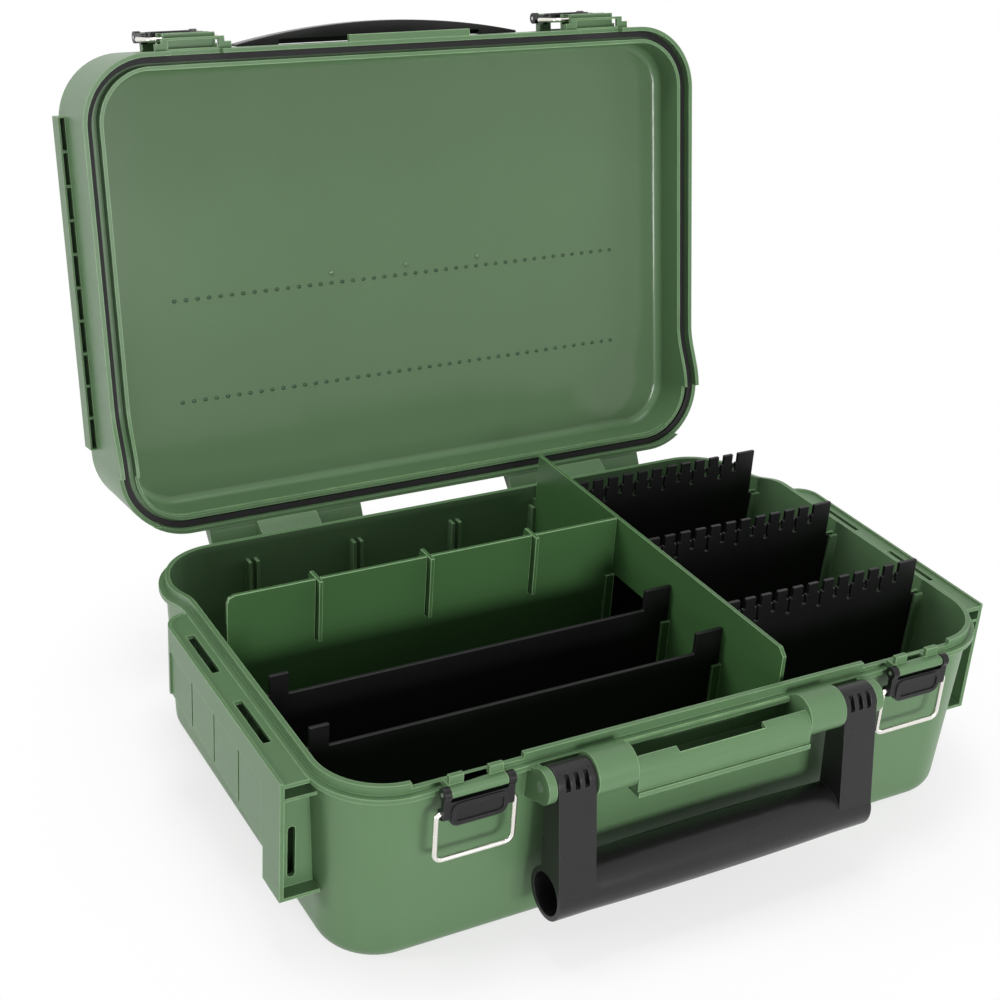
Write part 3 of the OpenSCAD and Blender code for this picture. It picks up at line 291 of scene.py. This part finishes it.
SAGE = (0.093, 0.172, 0.082)
# pale green painted on the edges: a painted highlight
SAGE_HIGHLIGHT = (0.30, 0.47, 0.25)
# inserts: a darker green, painted shade for the deep inside of the case
SHADED_INSERT_SAGE = (0.045, 0.112, 0.037)
# paler green for the bevel faces of green pieces: a painted highlight
SAGE_EDGE_HIGHLIGHT = (0.2, 0.32, 0.17)
green_shell = plastic("green_shell", SAGE, SAGE_HIGHLIGHT, 0.34)
green_edge_highlight = plastic("green_edge_highlight", SAGE_EDGE_HIGHLIGHT, SAGE_HIGHLIGHT, 0.3, highlight_amount=0.0)
green_insert = plastic("green_insert", SHADED_INSERT_SAGE, SAGE_HIGHLIGHT, 0.36)
panel_gloss = plastic("green_panel_polished", (0.095, 0.16, 0.082), SAGE_HIGHLIGHT, 0.13,
                      gloss_spread=0.05, grain=0.04, grain_scale=900, highlight_amount=0.04)
black_insert = plastic("black_insert", (0.0022, 0.0022, 0.0024), (0.02, 0.02, 0.02), 0.42, grain=0.3, highlight_amount=0.4)
black_latch = plastic("black_latch", (0.006, 0.006, 0.0065), (0.05, 0.05, 0.05), 0.3, grain=0.15, highlight_amount=0.6)
# dark green of the panel pips: painted shade
shadow_green = plastic("green_teeth_painted_shade", (0.03, 0.065, 0.028), (0.05, 0.09, 0.045), 0.3, highlight_amount=0.1)
handle_grip = plastic("handle_grip", (0.015, 0.0145, 0.015), (0.06, 0.06, 0.06), 0.27,
                      gloss_spread=0.08, grain=0.3, grain_scale=2000, highlight_amount=0.5)
seal_rubber = plastic("seal_rubber", (0.008, 0.008, 0.008), (0.02, 0.02, 0.02), 0.6,
                      grain=0.3, grain_scale=3000, highlight_amount=0.2)
foot_rubber = plastic("foot_rubber", (0.012, 0.012, 0.012), (0.03, 0.03, 0.03), 0.55,
                      gloss_spread=0.12, grain=0.5, grain_scale=1800, highlight_amount=0.4)
print("plastics:", len(bpy.data.materials))

# %% [markdown]
# ## Steel finishes
# The bails are bright drawn wire and the pins are turned steel. Both are metals with fine lines
# along their length, which noise that is stretched in one direction gives.


# %% Steel
def steel(name, colour, gloss, stretch):
    material = bpy.data.materials.new(name)
    material.use_nodes = True
    tree = material.node_tree
    shader = tree.nodes["Principled BSDF"]
    place = tree.nodes.new("ShaderNodeTexCoord").outputs["Object"]
    mapping = tree.nodes.new("ShaderNodeMapping")
    mapping.inputs["Scale"].default_value = stretch
    tree.links.new(place, mapping.inputs["Vector"])
    lines = noise(tree, mapping.outputs["Vector"], 900, 3)
    level = tree.nodes.new("ShaderNodeMapRange")
    level.inputs["To Min"].default_value = gloss - 0.07
    level.inputs["To Max"].default_value = gloss + 0.1
    tree.links.new(lines, level.inputs["Value"])
    tree.links.new(level.outputs["Result"], shader.inputs["Roughness"])
    tint = tree.nodes.new("ShaderNodeMix")
    tint.data_type = "RGBA"
    tint.inputs["A"].default_value = (*[c * 0.85 for c in colour], 1)
    tint.inputs["B"].default_value = (*colour, 1)
    tree.links.new(lines, tint.inputs["Factor"])
    tree.links.new(tint.outputs["Result"], shader.inputs["Base Color"])
    bump = tree.nodes.new("ShaderNodeBump")
    bump.inputs["Strength"].default_value = 0.1
    bump.inputs["Distance"].default_value = 0.0001
    tree.links.new(lines, bump.inputs["Height"])
    tree.links.new(bump.outputs["Normal"], shader.inputs["Normal"])
    shader.inputs["Metallic"].default_value = 1
    return material


wire_steel = steel("wire_steel", (0.86, 0.84, 0.78), 0.24, (0.3, 1, 1))
pin_steel = steel("pin_steel", (0.62, 0.62, 0.62), 0.3, (0.2, 1, 1))

# %% [markdown]
# ## Rounded moulded edges
# A mould leaves no knife edges: each edge has a small radius that catches a line of light. On a
# copy of each working piece, points at one place are merged, flat neighbours are joined into one
# face, and the sharp edges are rounded by a Bevel. On the green pieces the Bevel's narrow faces
# take a paler green, a painted highlight. The copy then stands for the working piece.

# %% Round the edges of a working piece
NODE_BODY = {node: body for body, nodes in frame["record"]["behaviour"]["bodies"].items() for node in nodes}
WELD = 0.00001
FLAT_ANGLE = math.radians(0.6)
SHARP_ANGLE = math.radians(32)


def link(name, mesh):
    piece = bpy.data.objects.new(name, mesh)
    bpy.context.scene.collection.objects.link(piece)
    return piece


def settle(piece):
    """Replaces a piece's modifiers by the mesh that they make."""
    graph = bpy.context.evaluated_depsgraph_get()
    mesh = bpy.data.meshes.new_from_object(piece.evaluated_get(graph), depsgraph=graph)
    piece.modifiers.clear()
    piece.data = mesh
    return piece


def soften(node, material, radius):
    """A finished copy of a working piece, with its sharp edges rounded."""
    mesh = frame["nodes"][node].data.copy()
    mesh.materials.clear()
    mesh.materials.append(material)
    # the second slot holds the paler painted highlight that the bevel faces take
    mesh.materials.append(green_edge_highlight if material in (green_shell, green_insert) else material)
    work = bmesh.new()
    work.from_mesh(mesh)
    bmesh.ops.remove_doubles(work, verts=work.verts, dist=WELD)
    bmesh.ops.dissolve_limit(work, angle_limit=FLAT_ANGLE, verts=work.verts, edges=work.edges)
    for face in work.faces:
        face.smooth = True
        face.material_index = 0
    work.to_mesh(mesh)
    work.free()
    piece = link(node + "_finished", mesh)
    bevel = piece.modifiers.new("edge", "BEVEL")
    bevel.width = radius
    bevel.segments = 2
    bevel.material = 1
    bevel.limit_method = "ANGLE"
    bevel.angle_limit = SHARP_ANGLE
    bevel.use_clamp_overlap = True
    bevel.miter_outer = "MITER_ARC"
    normals = piece.modifiers.new("normals", "WEIGHTED_NORMAL")
    normals.keep_sharp = True
    settle(piece)
    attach(piece, NODE_BODY[node])
    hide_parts(node)
    return piece


# %% Finish the working pieces
EDGE = {
    "base_tub": (green_shell, 0.0005), "lid_tray": (green_shell, 0.0005),
    "outer_cover": (green_shell, 0.0006),
    "main_divider": (green_insert, 0.0004), "long_divider": (green_insert, 0.0004),
    "cross_divider_left": (green_insert, 0.0004), "cross_divider_middle": (green_insert, 0.0004),
    "cross_divider_right": (green_insert, 0.0004),
    "lure_rack_rear": (black_insert, 0.0005), "lure_rack_front": (black_insert, 0.0005),
    "comb_rear": (black_insert, 0.0003), "comb_middle": (black_insert, 0.0003),
    "comb_front": (black_insert, 0.0003),
    "base_lever_left": (black_latch, 0.0004), "base_lever_right": (black_latch, 0.0004),
    "cover_lever_left": (black_latch, 0.0004), "cover_lever_right": (black_latch, 0.0004),
    "front_handle": (handle_grip, 0.001), "lid_grip": (handle_grip, 0.001),
    "lid_rear_foot": (foot_rubber, 0.001), "base_rear_feet": (foot_rubber, 0.001),
}
finished = {node: soften(node, material, radius) for node, (material, radius) in EDGE.items()}
for node, piece in finished.items():
    print(node, len(piece.data.polygons), "faces")

# %% [markdown]
# ## Seals, pins and wires
# These are smooth and round already, so they keep the mesh of the frame and only take a finish.

# %% Finish what keeps its own mesh
PLAIN = {"lid_gasket": seal_rubber, "cover_gasket": seal_rubber, "hinge_pin_left": pin_steel,
         "hinge_pin_right": pin_steel, "cover_hinge_pins": pin_steel, "base_latch_pins": pin_steel,
         "cover_latch_pins": pin_steel, "handle_pins": pin_steel, "base_bail_left": wire_steel,
         "base_bail_right": wire_steel, "cover_bail_left": wire_steel, "cover_bail_right": wire_steel}
for node, material in PLAIN.items():
    for slot in frame["nodes"][node].material_slots:
        slot.material = material
print("pieces with their own mesh:", len(PLAIN))

# %% [markdown]
# ## Polished panel
# The lid's inner panel shines more than the walls round it, and faintly mirrors what stands below.
# The faces at the panel's height that look down when the lid is shut take the polished finish.

# %% Polish the panel
RIM_OVER_LEVER = 0.004
LID_BELOW_RIM = 0.0055
RECESS_DEPTH = 0.025
SAME_HEIGHT = 0.0006
LOOKS_DOWN = -0.9
lid_piece = finished["lid_tray"]
lid_piece.data.materials.append(panel_gloss)
polish = len(lid_piece.data.materials) - 1
shut = OPEN.inverted()
rim_line = pivot("base_lever_left").z + RIM_OVER_LEVER
panel_z = rim_line - LID_BELOW_RIM + RECESS_DEPTH
polished = 0
for face in lid_piece.data.polygons:
    middle = shut @ face.center
    normal = shut.to_3x3() @ face.normal
    if abs(middle.z - panel_z) < SAME_HEIGHT and normal.z < LOOKS_DOWN:
        face.material_index = polish
        polished += 1
print("polished faces:", polished)

# %% [markdown]
# ## Rows of teeth on the panel
# The toothed rails for lures stand on the other side of the panel and show through as two rows of
# small pips, coloured a dark green that is painted shade. One Geometry Nodes tree places a pip at
# each step of a line. Three larger gate marks show where the plastic entered the mould.


# %% Rows of pips
def pip_row_tree():
    tree = bpy.data.node_groups.new("pip_row", "GeometryNodeTree")
    for label, kind, value in (("Count", "NodeSocketInt", 40), ("Start", "NodeSocketVector", (0, 0, 0)),
                               ("Pitch", "NodeSocketVector", (0.008, 0, 0)),
                               ("Size", "NodeSocketVector", (0.002, 0.003, 0.0006)),
                               ("Material", "NodeSocketMaterial", None)):
        socket = tree.interface.new_socket(label, in_out="INPUT", socket_type=kind)
        if value is not None:
            socket.default_value = value
    tree.interface.new_socket("Geometry", in_out="OUTPUT", socket_type="NodeSocketGeometry")
    start, end = tree.nodes.new("NodeGroupInput"), tree.nodes.new("NodeGroupOutput")
    line = tree.nodes.new("GeometryNodeMeshLine")
    tree.links.new(start.outputs["Count"], line.inputs["Count"])
    tree.links.new(start.outputs["Start"], line.inputs["Start Location"])
    tree.links.new(start.outputs["Pitch"], line.inputs["Offset"])
    pip = tree.nodes.new("GeometryNodeMeshUVSphere")
    pip.inputs["Segments"].default_value = 12
    pip.inputs["Rings"].default_value = 8
    pip.inputs["Radius"].default_value = 0.5
    place = tree.nodes.new("GeometryNodeInstanceOnPoints")
    tree.links.new(line.outputs["Mesh"], place.inputs["Points"])
    tree.links.new(pip.outputs["Mesh"], place.inputs["Instance"])
    tree.links.new(start.outputs["Size"], place.inputs["Scale"])
    real = tree.nodes.new("GeometryNodeRealizeInstances")
    tree.links.new(place.outputs["Instances"], real.inputs["Geometry"])
    paint = tree.nodes.new("GeometryNodeSetMaterial")
    tree.links.new(real.outputs["Geometry"], paint.inputs["Geometry"])
    tree.links.new(start.outputs["Material"], paint.inputs["Material"])
    tree.links.new(paint.outputs["Geometry"], end.inputs["Geometry"])
    return tree


PIP_ROW = pip_row_tree()


def pip_row(name, count, start, pitch, size, material):
    """One row of pips on the shut lid's panel, swung open with the lid."""
    piece = link(name, bpy.data.meshes.new(name))
    modifier = piece.modifiers.new("pips", "NODES")
    modifier.node_group = PIP_ROW
    values = {"Count": count, "Start": start, "Pitch": pitch, "Size": size, "Material": material}
    for item in PIP_ROW.interface.items_tree:
        if item.in_out == "INPUT":
            modifier[item.identifier] = values[item.name]
    settle(piece)
    piece.data.transform(OPEN)
    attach(piece, "lid")
    return piece


PIPS = 43
PIP_PITCH = 0.008
PIP_SIZE = (0.0034, 0.0026, 0.0012)
ROW_HALF = 0.168
ROWS = {"panel_pips_front": 0.006, "panel_pips_rear": 0.074}
GATES = 3
GATE_PITCH = 0.056
GATE_SIZE = (0.0045, 0.0045, 0.0016)
GATE_LEFT, GATE_Y = -0.055, -0.001
for name, y in ROWS.items():
    # the pips take the dark green of painted shade
    row = pip_row(name, PIPS, (-ROW_HALF, y, panel_z), (PIP_PITCH, 0.0, 0.0), PIP_SIZE, shadow_green)
    print(name, len(row.data.polygons), "faces")
gates = pip_row("panel_gate_marks", GATES, (GATE_LEFT, GATE_Y, panel_z), (GATE_PITCH, 0.0, 0.0),
                GATE_SIZE, panel_gloss)
print("gate marks:", len(gates.data.polygons), "faces")

# %% [markdown]
# ## Floor, backdrop and light
# The case is shown as in a catalogue, on white. A flat pale floor lies just under it, and the
# world behind is white. Straight rays and mirrored rays see that white at a strength of one, and
# the lamps light the case at a plain level. Near the case the floor fades to its own surface, so
# that it keeps the shadow.

# %% Studio
def seen_rays(tree):
    """1 for the rays that a viewer sees: straight, mirrored and through clear things."""
    rays = tree.nodes.new("ShaderNodeLightPath")
    seen = math_node(tree, "ADD", rays.outputs["Is Camera Ray"], rays.outputs["Is Glossy Ray"], True)
    return math_node(tree, "ADD", seen, rays.outputs["Is Transmission Ray"], True)


FLOOR_SIZE = 6.0
FLOOR_GAP = 0.0002
SHADOW_INNER = 0.2
SHADOW_OUTER = 0.38
SHADOW_WHITE = 0.7
SKY_LEVEL = 0.3
floor_mesh = bpy.data.meshes.new("studio_floor")
half = FLOOR_SIZE / 2
floor_z = cad_low.z - FLOOR_GAP
floor_mesh.from_pydata([(-half, -half, floor_z), (half, -half, floor_z), (half, half, floor_z),
                        (-half, half, floor_z)], [], [(0, 1, 2, 3)])
floor = link("studio_floor", floor_mesh)
floor_material = bpy.data.materials.new("studio_white")
floor_material.use_nodes = True
floor_tree = floor_material.node_tree
floor_paint = floor_tree.nodes["Principled BSDF"]
floor_paint.inputs["Base Color"].default_value = (0.9, 0.9, 0.9, 1)
floor_paint.inputs["Roughness"].default_value = 0.7
distance = floor_tree.nodes.new("ShaderNodeVectorMath")
distance.operation = "LENGTH"
floor_tree.links.new(floor_tree.nodes.new("ShaderNodeTexCoord").outputs["Object"], distance.inputs[0])
fade = floor_tree.nodes.new("ShaderNodeMapRange")
fade.interpolation_type = "SMOOTHSTEP"
fade.inputs["From Min"].default_value = SHADOW_INNER
fade.inputs["From Max"].default_value = SHADOW_OUTER
fade.inputs["To Min"].default_value = SHADOW_WHITE
floor_tree.links.new(distance.outputs["Value"], fade.inputs["Value"])
seen = math_node(floor_tree, "MULTIPLY", seen_rays(floor_tree), fade.outputs["Result"], True)
floor_white = floor_tree.nodes.new("ShaderNodeEmission")
floor_mix = floor_tree.nodes.new("ShaderNodeMixShader")
floor_tree.links.new(seen, floor_mix.inputs["Fac"])
floor_tree.links.new(floor_paint.outputs[0], floor_mix.inputs[1])
floor_tree.links.new(floor_white.outputs[0], floor_mix.inputs[2])
floor_tree.links.new(floor_mix.outputs[0], floor_tree.nodes["Material Output"].inputs["Surface"])
floor_mesh.materials.append(floor_material)

world = bpy.data.worlds.new("studio")
bpy.context.scene.world = world
world.use_nodes = True
world_tree = world.node_tree
sky = world_tree.nodes["Background"]
sky.inputs["Color"].default_value = (1, 1, 1, 1)
sky.inputs["Strength"].default_value = SKY_LEVEL
white = world_tree.nodes.new("ShaderNodeBackground")
white.inputs["Color"].default_value = (1, 1, 1, 1)
white.inputs["Strength"].default_value = 1
mix = world_tree.nodes.new("ShaderNodeMixShader")
world_tree.links.new(seen_rays(world_tree), mix.inputs["Fac"])
world_tree.links.new(sky.outputs[0], mix.inputs[1])
world_tree.links.new(white.outputs[0], mix.inputs[2])
world_tree.links.new(mix.outputs[0], world_tree.nodes["World Output"].inputs["Surface"])


def softbox(name, place, size, power):
    """A soft lamp that looks at the middle of the case."""
    light = bpy.data.lights.new(name, "AREA")
    light.shape = "RECTANGLE"
    light.size, light.size_y = size
    light.energy = power
    lamp = bpy.data.objects.new(name, light)
    lamp.location = place
    lamp.rotation_euler = (MIDDLE - Vector(place)).to_track_quat("-Z", "Y").to_euler()
    bpy.context.scene.collection.objects.link(lamp)


MIDDLE = Vector((0, 0, 0.15))
softbox("top_softbox", (-0.1, 0.2, 1.9), (0.8, 0.6), 17)
softbox("left_softbox", (-1.9, 0.3, 0.6), (0.35, 0.5), 14)
softbox("front_softbox", (-0.05, -2.05, 0.5), (0.8, 0.5), 30)
softbox("right_softbox", (1.85, -0.6, 0.6), (0.6, 0.6), 8)
bpy.context.scene.view_settings.view_transform = "Standard"
